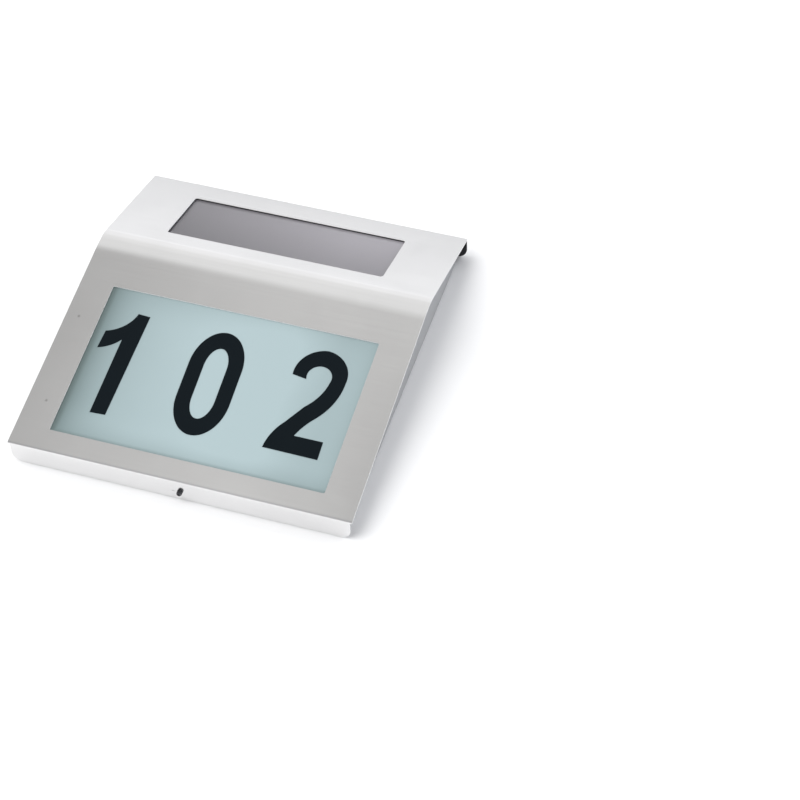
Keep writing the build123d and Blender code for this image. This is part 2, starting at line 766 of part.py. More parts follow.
def wire_sockets():
    sockets = []
    for place in socket_places:
        x = board_left + place
        half = socket_size / 2 + 0.5
        socket = block(x - half, x + half, board_front, board_front + socket_size,
                       socket_height - socket_size / 2, socket_height + socket_size / 2)
        for side in (-1, 1):
            entry = at(x + side * wire_pitch / 2, board_front + wire_seat - slip, socket_height)
            socket -= rod(entry, out_of_wall, wire_radius + slip, socket_size)
        sockets.append(socket)
    return group(sockets)


switch_rear = board_depth - 3.6


def power_switch():
    half = switch_length / 2
    body = block(switch_middle - half, switch_middle + half, switch_rear, board_depth,
                 battery_height - switch_width / 2, battery_height + switch_width / 2)
    track = (slider_width + 1.4 + switch_travel) / 2 + hole_clearance
    body -= block(switch_middle - track, switch_middle + track, switch_rear - 1, switch_rear + 1.6,
                  battery_height - slider_width / 2 - hole_clearance,
                  battery_height + slider_width / 2 + hole_clearance)
    return body


def switch_slider():
    centre = switch_middle - switch_travel / 2
    half = slider_width / 2
    foot = block(centre - half - 0.7, centre + half + 0.7, switch_rear + 0.1, switch_rear + 1.4,
                 battery_height - half, battery_height + half)
    return foot + block(centre - half, centre + half, panel_depth - slider_stand, switch_rear + 0.6,
                        battery_height - half, battery_height + half)


def lamp_board():
    half = lamp_spacing * (lamp_count - 1) / 2 + lamp_board_margin
    return block(-half, half, lamp_depth - lamp_board_width / 2, lamp_depth + lamp_board_width / 2,
                 partition_low - board_thickness, partition_low)


def led_lamps():
    lamps = []
    top = partition_low - board_thickness
    for number in range(lamp_count):
        x = (number - (lamp_count - 1) / 2) * lamp_spacing
        lamp = rod(at(x, lamp_depth, top), downwards, lamp_flange_radius, 1.0)
        lamp += rod(at(x, lamp_depth, top), downwards, lamp_radius, lamp_length)
        lamp += Pos(at(x, lamp_depth, top - lamp_length)) * Sphere(lamp_radius)
        lamps.append(lamp)
    return group(lamps)


def reflector_tray():
    half = number_window_width / 2
    low = number_window_low - 0.5
    high = partition_low - board_thickness - slip
    floor = panel_front + 0.3
    tray = across(side_outline(ledge_rear + slip, floor), -half, half)
    tray &= block(-half, half, 0, bend_depth, low, high)
    return tray - block(-half + tray_wall, half - tray_wall, floor + tray_wall, bend_depth + 1,
                        low + tray_wall, high + 1)


# ---- wires inside the lamp ----
def wire(points, radii):
    path = FilletPolyline([at(*point) for point in points], radius=radii)
    start = Plane(origin=path @ 0, z_dir=path % 0)
    tube = sweep(start * Circle(wire_radius), path=path)
    print("wire", round(path.length, 1), "mm long, volume ratio",
          round(tube.volume / (path.length * math.pi * wire_radius ** 2), 3))
    return tube


socket_face = board_front + socket_size


def socket_end(number, side):
    return board_left + socket_places[number] + side * wire_pitch / 2


def solar_lead(side):
    x = socket_end(0, side)
    pad_height = bend_height + 19.0
    pad_depth = bend_depth - 19.0 * math.tan(slope_tilt) - (solar_board_rear + slip) / math.cos(slope_tilt)
    return wire([(x, board_front + wire_seat, socket_height), (x, socket_face + 4.0, socket_height),
                 (x - 1.0, socket_face + 1.6, pad_height - 4.5),
                 (x - 1.2, pad_depth - 0.6, pad_height)], (2.4, 3.0))


def battery_lead_red():
    x = socket_end(1, -1)
    tail = pocket_front + pocket_wall + tail_reach - 1.0
    return wire([(battery_right - slip + wire_radius + 0.05, tail, battery_height),
                 (battery_right + 8.0, tail + 1.5, battery_height + 2.0),
                 (x - 9.0, tail + 1.0, socket_height - 1.0), (x, tail + 0.2, socket_height),
                 (x, board_front + wire_seat, socket_height)], (3.0, 6.0, 2.6))


def battery_lead_black():
    x = socket_end(1, 1)
    tail = pocket_front + pocket_wall + tail_reach - 1.0
    return wire([(battery_left + slip + contact_thickness + wire_radius + 0.05, tail, battery_height),
                 (battery_left + 10.0, tail - 0.6, battery_height + 3.0),
                 (battery_right - 6.0, tail + 0.6, battery_height + 8.0),
                 (x - 10.0, tail + 3.5, socket_height + 1.4), (x, tail + 3.0, socket_height),
                 (x, board_front + wire_seat, socket_height)], (5.0, 8.0, 8.0, 3.0))


def lamp_lead(side):
    x = socket_end(2, side)
    return wire([(x + 1.0, lamp_depth, partition_low + slip),
                 (x + 1.0, lamp_depth + 1.0, partition_high + 5.0),
                 (x + 0.6, socket_face + 5.0, partition_high + 13.0), (x, socket_face + 5.6, socket_height),
                 (x, board_front + wire_seat, socket_height)], (4.0, 5.0, 2.4))


# ---- write every piece ----
nodes = {
    "wall_plate": wall_plate(),
    "front_cover": front_cover(),
    "foam_strips": foam_strips(),
    "weld_studs": weld_studs(),
    "stud_nuts": stud_nuts(),
    "diffuser_panel": diffuser_panel(),
    "digit_one": raised_digit(one_outline(), digit_one_place),
    "digit_zero": raised_digit(zero_outline(), digit_zero_place, digit_zero_tilt),
    "digit_two": raised_digit(two_outline(), digit_two_place),
    "solar_gasket": solar_gasket(),
    "solar_glass": solar_glass(),
    "solar_cells": solar_cells(),
    "solar_board": solar_board(),
    "rear_case": rear_case(),
    "reflector_tray": reflector_tray(),
    "lamp_board": lamp_board(),
    "led_lamps": led_lamps(),
    "circuit_board": circuit_board(),
    "board_screws": board_screws(),
    "charge_chip": charge_chip(),
    "choke_coil": choke_coil(),
    "storage_capacitor": storage_capacitor(),
    "wire_sockets": wire_sockets(),
    "power_switch": power_switch(),
    "switch_slider": switch_slider(),
    "back_panel": back_panel(),
    "back_screws": back_screws(),
    "battery_cell": battery_cell(),
    "battery_spring": battery_spring(),
    "negative_contact": negative_contact(),
    "positive_contact": positive_contact(),
    "battery_door": battery_door(),
    "solar_lead_red": solar_lead(-1),
    "solar_lead_black": solar_lead(1),
    "battery_lead_red": battery_lead_red(),
    "battery_lead_black": battery_lead_black(),
    "lamp_lead_red": lamp_lead(-1),
    "lamp_lead_black": lamp_lead(1),
    "lock_screw": lock_screw(),
    "lock_nut": lock_nut(),
}
for name, piece in nodes.items():
    export_step(piece, f"parts/{name}.step")
print(len(nodes), "nodes written")
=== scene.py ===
import bpy
import bmesh
import json
import math
from mathutils import Matrix, Vector

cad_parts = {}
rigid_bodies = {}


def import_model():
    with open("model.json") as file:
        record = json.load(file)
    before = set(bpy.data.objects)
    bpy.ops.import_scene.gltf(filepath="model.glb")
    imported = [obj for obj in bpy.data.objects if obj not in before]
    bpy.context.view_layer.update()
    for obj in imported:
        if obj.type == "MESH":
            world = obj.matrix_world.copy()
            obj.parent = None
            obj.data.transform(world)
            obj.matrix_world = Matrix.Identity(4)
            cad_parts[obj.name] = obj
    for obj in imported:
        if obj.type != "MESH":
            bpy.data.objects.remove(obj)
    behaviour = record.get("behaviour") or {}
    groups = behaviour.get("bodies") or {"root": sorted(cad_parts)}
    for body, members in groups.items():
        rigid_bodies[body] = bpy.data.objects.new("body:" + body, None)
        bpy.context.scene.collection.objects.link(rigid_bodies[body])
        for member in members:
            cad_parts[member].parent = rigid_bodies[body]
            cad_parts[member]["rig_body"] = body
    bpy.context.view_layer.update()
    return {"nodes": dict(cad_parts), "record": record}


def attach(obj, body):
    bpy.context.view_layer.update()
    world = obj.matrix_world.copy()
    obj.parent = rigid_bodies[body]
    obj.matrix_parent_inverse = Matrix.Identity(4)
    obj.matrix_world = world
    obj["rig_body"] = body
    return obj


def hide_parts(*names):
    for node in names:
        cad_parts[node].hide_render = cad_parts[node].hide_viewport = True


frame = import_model()
nodes = frame["nodes"]
print("frame loaded:", len(nodes), "CAD nodes")

# The wall is y = 0, -y points out of it, and z is up. Depth is the distance out from the wall,
# height is measured from the underside of the steel cover.
lampBase = -0.180          # z of the cover's underside

coverSheet = {
    "width": 0.180,
    "height": 0.200,
    "flangeDepth": 0.0137,     # where the folds at the bottom and the top begin
    "bendHeight": 0.1306,      # where face and slope would meet in a sharp bend
    "bendDepth": 0.0344,
    "bendRadius": 0.020,
    "bendSteps": 18,
    "runOut": 0.009,           # below the bend the face leans back a little over this length
    "runOutAngle": 4.0,        # degrees
    "runOutRadius": 0.080,
    "foldRadius": 0.0012,
    "foldSteps": 6,
    "wallGap": 0.0003,         # from the wall to the folds' free edges
    "foldInsets": (0.0012, 0.0003),      # the ends of the lower and upper fold stand back from the sides
    "cornerRadius": 0.0055,
    "cornerSteps": 10,
    # width, lower and upper edge along the face or the slope, and corner radius
    "numberWindow": (0.1444, 0.0121, 0.1019, 0.0008),
    "solarWindow": (0.1196, 0.0150, 0.05697, 0.0016),
    "windowSteps": 4,
    # x, depth and radius of the lock screw's hole and the drain hole
    "flangeHoles": ((0.001, 0.0060, 0.0011), (-0.0026, 0.0057, 0.0004)),
    "holeSteps": 24,
    "lipWidth": 0.088,         # the hook's lip, in the middle of the upper fold
    "lipDrop": 0.0045,
    "lipRadius": 0.0009,
    "lipSteps": 5,
    "thickness": 0.0006,
    "edgeRound": 0.00012,
    "roundedFrom": 50,         # degrees between two faces
    "sharpFrom": 60,
    "borderSpot": (0.08, 0.06),      # a place on the face beside the number window
    "grainTiling": 5,
}

bendOut = coverSheet["bendDepth"] - coverSheet["flangeDepth"]
faceTilt = math.atan2(bendOut, coverSheet["bendHeight"])
slopeTilt = math.atan2(bendOut, coverSheet["height"] - coverSheet["bendHeight"])


def spot(x, depth, height):
    return Vector((x, -depth, lampBase + height))


def onFace(x, along):
    # a point on the steel face, this far up from the bottom fold
    up = Vector((0, -math.sin(faceTilt), math.cos(faceTilt)))
    return spot(x, coverSheet["flangeDepth"], 0) + up * along


def onSlope(x, along):
    # a point on the slope, this far up from where it would meet the face
    up = Vector((0, math.sin(slopeTilt), math.cos(slopeTilt)))
    return spot(x, coverSheet["bendDepth"], coverSheet["bendHeight"]) + up * along


# small helpers for shader nodes
def addNode(tree, kind, **settings):
    node = tree.nodes.new(kind)
    for key, value in settings.items():
        setattr(node, key, value)
    return node


def feed(tree, socket, source):
    # a plain value is typed into the socket, anything else is linked to it
    if isinstance(source, bpy.types.NodeSocket):
        tree.links.new(source, socket)
    else:
        socket.default_value = source


def maths(tree, operation, first, second=0.0, third=0.0, clamp=False):
    node = addNode(tree, "ShaderNodeMath", operation=operation, use_clamp=clamp)
    for socket, source in zip(node.inputs, (first, second, third)):
        feed(tree, socket, source)
    return node.outputs[0]


def vectorMaths(tree, operation, first, second):
    node = addNode(tree, "ShaderNodeVectorMath", operation=operation)
    feed(tree, node.inputs[0], first)
    feed(tree, node.inputs[1], second)
    return node.outputs["Value" if operation == "DISTANCE" else "Vector"]


def remap(tree, value, low, high, newLow=0.0, newHigh=1.0, smooth=True):
    node = addNode(tree, "ShaderNodeMapRange", clamp=True)
    node.interpolation_type = "SMOOTHSTEP" if smooth else "LINEAR"
    for socket, source in zip(node.inputs[:5], (value, low, high, newLow, newHigh)):
        feed(tree, socket, source)
    return node.outputs["Result"]


def mixColors(tree, share, first, second, blend="MIX"):
    node = addNode(tree, "ShaderNodeMix", data_type="RGBA", blend_type=blend)
    feed(tree, node.inputs[0], share)
    feed(tree, node.inputs[6], first)
    feed(tree, node.inputs[7], second)
    return node.outputs[2]


def objectPoint(tree):
    return addNode(tree, "ShaderNodeTexCoord").outputs["Object"]


def splitVector(tree, vector):
    node = addNode(tree, "ShaderNodeSeparateXYZ")
    feed(tree, node.inputs[0], vector)
    return node.outputs


def joinVector(tree, x, y, z=0.0):
    node = addNode(tree, "ShaderNodeCombineXYZ")
    for socket, source in zip(node.inputs, (x, y, z)):
        feed(tree, socket, source)
    return node.outputs[0]


def noise(tree, place, scale, detail=2.0, roughness=0.5):
    node = addNode(tree, "ShaderNodeTexNoise")
    feed(tree, node.inputs["Vector"], place)
    feed(tree, node.inputs["Scale"], scale)
    node.inputs["Detail"].default_value = detail
    node.inputs["Roughness"].default_value = roughness
    return node.outputs["Fac"]


def bump(tree, height, strength, distance):
    node = addNode(tree, "ShaderNodeBump")
    feed(tree, node.inputs["Height"], height)
    node.inputs["Strength"].default_value = strength
    node.inputs["Distance"].default_value = distance
    return node.outputs["Normal"]


# effects that several finishes share, each built once as a node group
def newGroup(name, inputs, outputs):
    # every socket is a plain number, and the inputs come with their usual values
    tree = bpy.data.node_groups.new(name, "ShaderNodeTree")
    for label, value in inputs.items():
        socket = tree.interface.new_socket(name=label, in_out="INPUT", socket_type="NodeSocketFloat")
        socket.default_value = value
    for label in outputs:
        tree.interface.new_socket(name=label, in_out="OUTPUT", socket_type="NodeSocketFloat")
    return tree, addNode(tree, "NodeGroupInput"), addNode(tree, "NodeGroupOutput")


brushLook = {
    "fine": (3.0, 0.7),                    # detail and roughness of the noise
    "coarse": (2.0, 0.6),
    "coarseScale": (0.35, 0.22, 0.22),     # against the fine scratches
    "coarseShare": 0.6,
    "toneRange": (0.36, 0.64),
}


def makeBrushGroup():
    # long fine scratches along x, as a belt grinder leaves them
    tree, start, end = newGroup("brushLines", {"Along": 12.0, "Across": 2600.0}, ("Height", "Tone"))
    place = objectPoint(tree)
    across = start.outputs["Across"]
    fineScale = joinVector(tree, start.outputs["Along"], across, across)
    coarseScale = vectorMaths(tree, "MULTIPLY", fineScale, brushLook["coarseScale"])
    fine = noise(tree, vectorMaths(tree, "MULTIPLY", place, fineScale), 1.0, *brushLook["fine"])
    coarse = noise(tree, vectorMaths(tree, "MULTIPLY", place, coarseScale), 1.0, *brushLook["coarse"])
    share = brushLook["coarseShare"]
    both = maths(tree, "MULTIPLY_ADD", coarse, share, maths(tree, "MULTIPLY", fine, 1 - share))
    feed(tree, end.inputs["Height"], both)
    feed(tree, end.inputs["Tone"], remap(tree, both, *brushLook["toneRange"], smooth=False))
    return tree


mouldLook = {
    "waveDetail": 3.0,
    "waveHeight": 0.8,         # against the grain
}


def makeMouldGroup():
    # the fine sparkle of a moulded plastic surface, and slow waves from the mould
    tree, start, end = newGroup("mouldedSkin", {"Grain": 1800.0, "Waves": 18.0}, ("Height", "Tone"))
    place = objectPoint(tree)
    grain = noise(tree, place, start.outputs["Grain"])
    waves = noise(tree, place, start.outputs["Waves"], mouldLook["waveDetail"])
    feed(tree, end.inputs["Height"], maths(tree, "MULTIPLY_ADD", waves, mouldLook["waveHeight"], grain))
    feed(tree, end.inputs["Tone"], waves)
    return tree


wearLook = {
    # scale against the Size input, detail, and the noise where a patch starts and where it is full
    "patches": (1.0, 4.0, 0.47, 0.72),
    "smears": (7.0, 3.0, 0.35, 0.75),
    "specks": (60.0, 1.0, 0.68, 0.80),
}


def makeWearGroup():
    # faint smears and dust from handling, patchy, and nowhere strong
    tree, start, end = newGroup("handledSurface", {"Size": 26.0, "Amount": 0.5}, ("Smear", "Dust"))
    place = objectPoint(tree)
    size, amount = start.outputs["Size"], start.outputs["Amount"]

    def layer(name):
        scale, detail, low, high = wearLook[name]
        pattern = noise(tree, place, maths(tree, "MULTIPLY", size, scale), detail)
        return remap(tree, pattern, low, high)

    smear = maths(tree, "MULTIPLY", layer("patches"), layer("smears"))
    feed(tree, end.inputs["Smear"], maths(tree, "MULTIPLY", smear, amount))
    feed(tree, end.inputs["Dust"], maths(tree, "MULTIPLY", layer("specks"), amount))
    return tree


brushGroup, mouldGroup, wearGroup = makeBrushGroup(), makeMouldGroup(), makeWearGroup()


def useGroup(tree, group, **values):
    node = addNode(tree, "ShaderNodeGroup", node_tree=group)
    for label, value in values.items():
        node.inputs[label].default_value = value
    return node.outputs


# finishes
def startMaterial(name, **fixed):
    material = bpy.data.materials.new(name)
    material.use_nodes = True
    tree = material.node_tree
    shader = tree.nodes["Principled BSDF"]
    for label, value in fixed.items():
        shader.inputs[label.replace("_", " ")].default_value = value
    return material, tree, shader


def shade(color, factor):
    return tuple(channel * factor for channel in color[:3]) + (1.0,)


def smeared(tree, roughness, smear, gain=0.18):
    # handled patches are a little rougher
    return maths(tree, "MULTIPLY_ADD", smear, gain, roughness, clamp=True)


def finishSurface(tree, shader, color, roughness, tone, smear, height, depth, spread, strength=0.35):
    # slow tone changes in the colour, smears in the roughness, fine relief in the normal
    base = mixColors(tree, tone, shade(color, 1 - spread), shade(color, 1 + spread))
    feed(tree, shader.inputs["Base Color"], base)
    feed(tree, shader.inputs["Roughness"], smeared(tree, roughness, smear))
    feed(tree, shader.inputs["Normal"], bump(tree, height, strength, depth))
    return base


commonLook = {
    "plasticSize": 30.0,
    "plasticWaves": 18.0,
    "metalSize": 22.0,
    "metalAmount": 0.6,
    "dustColor": (0.55, 0.53, 0.50, 1),
    "dustShare": 0.35,
}


def mouldedPlastic(name, color, roughness, grain, depth, spread, amount, **fixed):
    material, tree, shader = startMaterial(name, **fixed)
    skin = useGroup(tree, mouldGroup, Grain=grain, Waves=commonLook["plasticWaves"])
    wear = useGroup(tree, wearGroup, Size=commonLook["plasticSize"], Amount=amount)
    base = finishSurface(tree, shader, color, roughness, skin["Tone"], wear["Smear"], skin["Height"],
                         depth, spread)
    dust = maths(tree, "MULTIPLY", wear["Dust"], commonLook["dustShare"])
    feed(tree, shader.inputs["Base Color"], mixColors(tree, dust, base, commonLook["dustColor"]))
    return material


def brushedMetal(name, color, roughness, along, across, depth, spread):
    material, tree, shader = startMaterial(name, Metallic=1.0)
    lines = useGroup(tree, brushGroup, Along=along, Across=across)
    wear = useGroup(tree, wearGroup, Size=commonLook["metalSize"], Amount=commonLook["metalAmount"])
    finishSurface(tree, shader, color, roughness, lines["Tone"], wear["Smear"], lines["Height"],
                  depth, spread)
    return material


coverFinish = {
    "color": (0.665, 0.662, 0.658, 1),
    "roughness": 0.17,
    "anisotropy": 0.30,
    "grainAlong": 20.0,        # scratches per metre, along and across
    "grainAcross": 5200.0,
    "grainDepth": 0.000006,
    "grainStrength": 0.15,
    "toneSpread": 0.014,
    "wearSize": 20.0,
    "wearAmount": 0.2,
    "smudge": 0.06,            # how much the handled patches darken
    "smudgeColor": (0.35, 0.35, 0.35, 1),
    "smudgeNoise": (26.0, 3.0, 0.55),        # scale, detail and roughness
    "smudgeRange": (0.62, 0.36),             # none from the first, full at the second
    "weldSpots": ((-0.0801, 0.0277), (-0.0829, 0.0797)),     # x, and height along the face
    "weldRadius": 0.0011,
    "weldCore": 0.3,           # share of the radius that is fully marked
    "weldShare": 0.38,
    "weldColor": (0.20, 0.19, 0.18, 1),
}


def makeCoverSteel():
    look = coverFinish
    material, tree, shader = startMaterial("brushedSteelCover", Metallic=1.0)
    lines = useGroup(tree, brushGroup, Along=look["grainAlong"], Across=look["grainAcross"])
    wear = useGroup(tree, wearGroup, Size=look["wearSize"], Amount=look["wearAmount"])
    base = finishSurface(tree, shader, look["color"], look["roughness"], lines["Tone"], wear["Smear"],
                         lines["Height"], look["grainDepth"], look["toneSpread"], look["grainStrength"])
    cloudy = noise(tree, objectPoint(tree), *look["smudgeNoise"])
    smudges = remap(tree, cloudy, *look["smudgeRange"], 0.0, look["smudge"])
    base = mixColors(tree, smudges, base, look["smudgeColor"])
    # the studs behind leave a small dull mark on the face where they were welded
    marks = 0.0
    for x, along in look["weldSpots"]:
        away = vectorMaths(tree, "DISTANCE", objectPoint(tree), tuple(onFace(x, along)))
        mark = remap(tree, away, look["weldRadius"], look["weldRadius"] * look["weldCore"])
        marks = maths(tree, "MAXIMUM", mark, marks)
    marks = maths(tree, "MULTIPLY", marks, look["weldShare"])
    feed(tree, shader.inputs["Base Color"], mixColors(tree, marks, base, look["weldColor"]))
    shader.inputs["Anisotropic"].default_value = look["anisotropy"]
    tangent = addNode(tree, "ShaderNodeTangent", direction_type="UV_MAP", uv_map="grain")
    feed(tree, shader.inputs["Tangent"], tangent.outputs[0])
    return material


diffuserFinish = {
    "bright": (0.312, 0.392, 0.405, 1),       # painted light where the white tray lies open behind
    "dim": (0.122, 0.164, 0.165, 1),          # painted shade towards the tray's walls
    "wall": (0.073, 0.101, 0.098, 1),         # painted shade of the tray's left wall, seen through the panel
    # painted light: beside a side wall the light comes back quickly: where from, its reach, and its
    # share
    "leftReturn": (0.002, 0.011, 0.72),
    "rightReturn": (0.0, 0.004, 0.15),
    # and it rises slowly further in: distance from, to, and its share at both
    "leftRise": (0.010, 0.090, 0.0, 0.34),
    "rightRise": (0.012, 0.048, 0.55, 0.90),
    "highRise": (-0.050, 0.018, 0.0, 1.0),
    "lowRise": (-0.018, 0.013, 0.0, 1.0),
    # painted shade bands on the left and lower edge: distance where gone, where full, and the share at
    # both
    "leftShadeBand": (0.0040, 0.0004, 0.0, 0.90),
    "lowShadeBand": (0.0026, 0.0006, 0.0, 0.35),
    "cloud": 0.22,                            # how uneven the frosting is
    "grain": 2600.0,
    "waves": 16.0,
    "grainDepth": 0.000015,
    "grainStrength": 0.15,
    "roughness": 0.40,
    "smearGain": 0.15,
    "wearSize": 24.0,
    "wearAmount": 0.5,
}


def lightBeside(tree, distance, comeBack, rise):
    # painted light that comes back beside a side wall and rises further in
    start, reach, share = comeBack
    past = maths(tree, "SUBTRACT", distance, start)
    fall = maths(tree, "EXPONENT", maths(tree, "DIVIDE", past, -reach))
    near = maths(tree, "SUBTRACT", 1.0, fall)
    return maths(tree, "MULTIPLY_ADD", near, share, remap(tree, distance, *rise))


def makeDiffuser():
    look = diffuserFinish
    material, tree, shader = startMaterial("frostedPanel", IOR=1.49)
    wear = useGroup(tree, wearGroup, Size=look["wearSize"], Amount=look["wearAmount"])
    skin = useGroup(tree, mouldGroup, Grain=look["grain"], Waves=look["waves"])
    x, _, z = splitVector(tree, objectPoint(tree))
    width, low, high, _ = coverSheet["numberWindow"]
    along = maths(tree, "DIVIDE", maths(tree, "SUBTRACT", z, lampBase), math.cos(faceTilt))
    fromLeft = maths(tree, "ADD", x, width / 2)
    fromRight = maths(tree, "SUBTRACT", width / 2, x)
    fromLow = maths(tree, "SUBTRACT", along, low)
    fromHigh = maths(tree, "SUBTRACT", high, along)

    # painted light: brightest where the tray lies open, falling off towards the window's edges
    left = lightBeside(tree, fromLeft, look["leftReturn"], look["leftRise"])
    right = lightBeside(tree, fromRight, look["rightReturn"], look["rightRise"])
    paintedGlow = maths(tree, "MULTIPLY", left, right)
    paintedGlow = maths(tree, "MULTIPLY", paintedGlow, remap(tree, fromHigh, *look["highRise"]))
    paintedGlow = maths(tree, "MULTIPLY", paintedGlow, remap(tree, fromLow, *look["lowRise"]))
    uneven = maths(tree, "SUBTRACT", skin["Tone"], 0.5)
    clouded = maths(tree, "MULTIPLY_ADD", uneven, look["cloud"], paintedGlow, clamp=True)
    body = mixColors(tree, clouded, look["dim"], look["bright"])

    # painted shade along the panel's left and lower edges
    leftShadeBand = remap(tree, fromLeft, *look["leftShadeBand"])
    lowShadeBand = remap(tree, fromLow, *look["lowShadeBand"])
    body = mixColors(tree, maths(tree, "MAXIMUM", leftShadeBand, lowShadeBand), body, look["wall"])
    feed(tree, shader.inputs["Base Color"], body)
    rough = smeared(tree, look["roughness"], wear["Smear"], look["smearGain"])
    feed(tree, shader.inputs["Roughness"], rough)
    relief = bump(tree, skin["Height"], look["grainStrength"], look["grainDepth"])
    feed(tree, shader.inputs["Normal"], relief)
    return material


solarFinish = {
    "cell": (0.34, 0.322, 0.345, 1),
    "cellSpread": 0.07,
    "cellNoise": (30.0, 3.0),                 # scale and detail
    "cellRoughness": 0.45,
    "finger": (0.39, 0.373, 0.40, 1),         # the fine silver lines on the cells
    "fingerPitch": 0.0016,
    "fingerEdge": (0.06, 0.03),               # shares of the pitch where a line ends and is full
    "fingerShare": 0.25,
    "wearSize": 18.0,
    "wearAmount": 0.6,
    "smearGain": 0.2,
    "cover": (0.47, 0.452, 0.485, 1),         # the textured sheet over the cells
    "coverRoughness": 0.32,
    "acrossPaintedLight": (-0.062, 0.034, 0.57),      # x from, to, and the painted brightness at the first
    "upPaintedLight": (-0.037, 0.007, 0.60),          # the same for z
}
noLight = (0, 0, 0, 1)


def solarPaintedLight(tree):
    # painted reflection: the panel is painted a little darker towards its lower left
    x, _, z = splitVector(tree, objectPoint(tree))
    start, end, least = solarFinish["acrossPaintedLight"]
    across = remap(tree, x, start, end, least, 1.0, smooth=False)
    start, end, least = solarFinish["upPaintedLight"]
    upwards = remap(tree, z, start, end, least, 1.0, smooth=False)
    return maths(tree, "MULTIPLY", across, upwards)


def makeSolarCell():
    look = solarFinish
    material, tree, shader = startMaterial("solarCells", IOR=1.9)
    wear = useGroup(tree, wearGroup, Size=look["wearSize"], Amount=look["wearAmount"])
    _, _, z = splitVector(tree, objectPoint(tree))
    wave = maths(tree, "FRACT", maths(tree, "DIVIDE", z, look["fingerPitch"]))
    offLine = maths(tree, "ABSOLUTE", maths(tree, "SUBTRACT", wave, 0.5))
    finger = remap(tree, offLine, *look["fingerEdge"])
    tone = noise(tree, objectPoint(tree), *look["cellNoise"])
    spread = look["cellSpread"]
    base = mixColors(tree, tone, shade(look["cell"], 1 - spread), shade(look["cell"], 1 + spread))
    base = mixColors(tree, maths(tree, "MULTIPLY", finger, look["fingerShare"]), base, look["finger"])
    # the painted reflection darkens the cells towards the lower left
    feed(tree, shader.inputs["Base Color"], mixColors(tree, solarPaintedLight(tree), noLight, base))
    rough = smeared(tree, look["cellRoughness"], wear["Smear"], look["smearGain"])
    feed(tree, shader.inputs["Roughness"], rough)
    return material


clearWear = {"Size": 40.0, "Amount": 0.6}
clearSmear = 0.12              # roughness that a smear adds


def makeSolarCover():
    material, tree, shader = startMaterial("solarGlass", IOR=1.5, Transmission_Weight=0.45)
    smear = useGroup(tree, wearGroup, **clearWear)["Smear"]
    # the painted reflection darkens the cover sheet towards the lower left
    base = mixColors(tree, solarPaintedLight(tree), noLight, solarFinish["cover"])
    feed(tree, shader.inputs["Base Color"], base)
    rough = smeared(tree, solarFinish["coverRoughness"], smear, clearSmear)
    feed(tree, shader.inputs["Roughness"], rough)
    return material


lampFinish = {
    "color": (0.92, 0.95, 0.96, 1),
    "smearedTone": 0.97,
    "roughness": 0.05,
}


def makeLampEpoxy():
    look = lampFinish
    material, tree, shader = startMaterial("clearLamp", IOR=1.5, Transmission_Weight=1.0)
    smear = useGroup(tree, wearGroup, **clearWear)["Smear"]
    base = mixColors(tree, smear, look["color"], shade(look["color"], look["smearedTone"]))
    feed(tree, shader.inputs["Base Color"], base)
    feed(tree, shader.inputs["Roughness"], smeared(tree, look["roughness"], smear, clearSmear))
    return material


vinylFinish = {
    "color": (0.0035, 0.0062, 0.0082, 1),
    "roughness": 0.45,
    "grain": 1500.0,
    "waves": 40.0,
    "grainDepth": 0.000012,
    "toneSpread": 0.15,
    "wearSize": 60.0,
    "wearAmount": 0.8,
}


def makeVinyl():
    look = vinylFinish
    material, tree, shader = startMaterial("blackVinyl", Specular_IOR_Level=0.06)
    skin = useGroup(tree, mouldGroup, Grain=look["grain"], Waves=look["waves"])
    wear = useGroup(tree, wearGroup, Size=look["wearSize"], Amount=look["wearAmount"])
    finishSurface(tree, shader, look["color"], look["roughness"], skin["Tone"], wear["Smear"],
                  skin["Height"], look["grainDepth"], look["toneSpread"])
    return material


boardFinish = {
    "mask": (0.010, 0.110, 0.045, 1),
    "otherMask": (0.014, 0.135, 0.055, 1),
    "track": (0.030, 0.220, 0.090, 1),
    "trackScale": 260.0,
    "trackWidth": 0.03,
    "trackStrength": 0.4,
    "trackDepth": 0.00005,
    "roughness": 0.35,
    "unevenness": 0.15,
    "grain": 900.0,
    "waves": 60.0,
}


def makeBoardGreen():
    # solder mask over a pattern of tracks in the plane of x and z
    look = boardFinish
    material, tree, shader = startMaterial("circuitBoard", Coat_Weight=0.4, Coat_Roughness=0.2)
    x, _, z = splitVector(tree, objectPoint(tree))
    tracks = addNode(tree, "ShaderNodeTexBrick")
    feed(tree, tracks.inputs["Vector"], joinVector(tree, x, z))
    tracks.inputs["Scale"].default_value = look["trackScale"]
    tracks.inputs["Mortar Size"].default_value = look["trackWidth"]
    tracks.inputs["Color1"].default_value = look["mask"]
    tracks.inputs["Color2"].default_value = look["otherMask"]
    tracks.inputs["Mortar"].default_value = look["track"]
    skin = useGroup(tree, mouldGroup, Grain=look["grain"], Waves=look["waves"])
    rough = maths(tree, "MULTIPLY_ADD", skin["Tone"], look["unevenness"], look["roughness"])
    relief = bump(tree, tracks.outputs["Fac"], look["trackStrength"], look["trackDepth"])
    feed(tree, shader.inputs["Base Color"], tracks.outputs["Color"])
    feed(tree, shader.inputs["Roughness"], rough)
    feed(tree, shader.inputs["Normal"], relief)
    return material


# name, colour, roughness, scratches per metre along and across, depth of the relief, spread of the tone
metals = {
    "plate_steel": ("zincSteelPlate", (0.56, 0.57, 0.58), 0.36, 30.0, 900.0, 0.00001, 0.08),
    "bright_steel": ("nickelScrews", (0.68, 0.67, 0.65), 0.26, 300.0, 2400.0, 0.000006, 0.06),
    "contact_steel": ("springSteel", (0.72, 0.71, 0.68), 0.24, 200.0, 1800.0, 0.000005, 0.06),
    "dark_steel": ("blackenedScrew", (0.105, 0.105, 0.11), 0.42, 400.0, 2400.0, 0.000005, 0.10),
}
